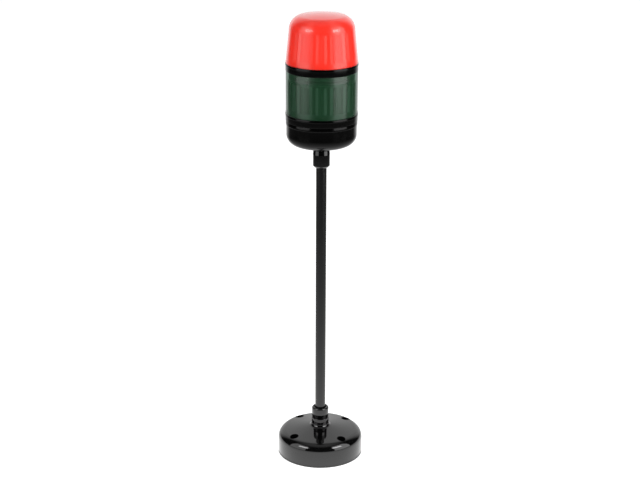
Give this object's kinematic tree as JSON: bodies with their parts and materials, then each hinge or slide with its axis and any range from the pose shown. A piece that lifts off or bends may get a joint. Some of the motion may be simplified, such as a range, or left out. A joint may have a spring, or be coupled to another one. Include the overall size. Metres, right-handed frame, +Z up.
{
  "type": "stack light",
  "caption": "Signal tower light: round screw-down foot, tubular pole, base housing and stacked bayonet light modules, green below a red dome.",
  "frame": {"origin": "centre of the foot's underside, on the pole's axis", "axes": "+Z up along the pole; the fixing holes stand midway between the X and Y axes"},
  "size_m": [0.0874, 0.0874, 0.4601],
  "materials": {
    "gloss_black_plastic": "gloss moulded",
    "black_plastic": "semi-gloss moulded",
    "insulating_plastic": "moulded",
    "white_plastic": "moulded",
    "black_painted_tube": "gloss black",
    "seal_rubber": "matte",
    "zinc_steel": "zinc plated",
    "brass": "bare",
    "circuit_board": "solder resist",
    "green_led": "clear resin",
    "red_led": "clear resin",
    "green_lens_plastic": "clear, polished",
    "red_lens_plastic": "clear, polished"
  },
  "bodies": {
    "tower": {"foot_gasket": "seal_rubber", "foot": "gloss_black_plastic", "pole": "black_painted_tube", "lower_pole_washer": "zinc_steel", "lower_pole_nut": "zinc_steel", "lower_sleeve_seal": "seal_rubber", "lower_pole_sleeve": "gloss_black_plastic", "upper_pole_sleeve": "gloss_black_plastic", "neck_seal": "seal_rubber", "upper_pole_washer": "zinc_steel", "upper_pole_nut": "zinc_steel", "base_housing": "black_plastic", "terminal_block": "insulating_plastic", "terminal_block_screws": "zinc_steel", "terminal_clamps": "brass", "terminal_clamp_screws": "zinc_steel", "terminal_tracks": "brass"},
    "green_module": {"green_module_base": "black_plastic", "green_module_seal": "seal_rubber", "green_lens": "green_lens_plastic", "green_board": "circuit_board", "green_led_post": "white_plastic", "green_leds": "green_led", "green_contact_pins": "brass", "green_bus_rods": "brass", "green_top_plate": "white_plastic", "green_top_tracks": "brass"},
    "red_module": {"red_module_base": "black_plastic", "red_module_seal": "seal_rubber", "red_lens": "red_lens_plastic", "red_board": "circuit_board", "red_led_post": "white_plastic", "red_leds": "red_led", "red_contact_pins": "brass"}
  },
  "joints": [
    {"name": "green_module_twist", "type": "hinge", "parent": "tower", "child": "green_module", "pos_m": [0, 0, 0.3555], "axis": [0, 0, 1], "range_deg": [0, 22]},
    {"name": "red_module_twist", "type": "hinge", "parent": "green_module", "child": "red_module", "pos_m": [0, 0, 0.4051], "axis": [0, 0, 1], "range_deg": [0, 22]}
  ]
}
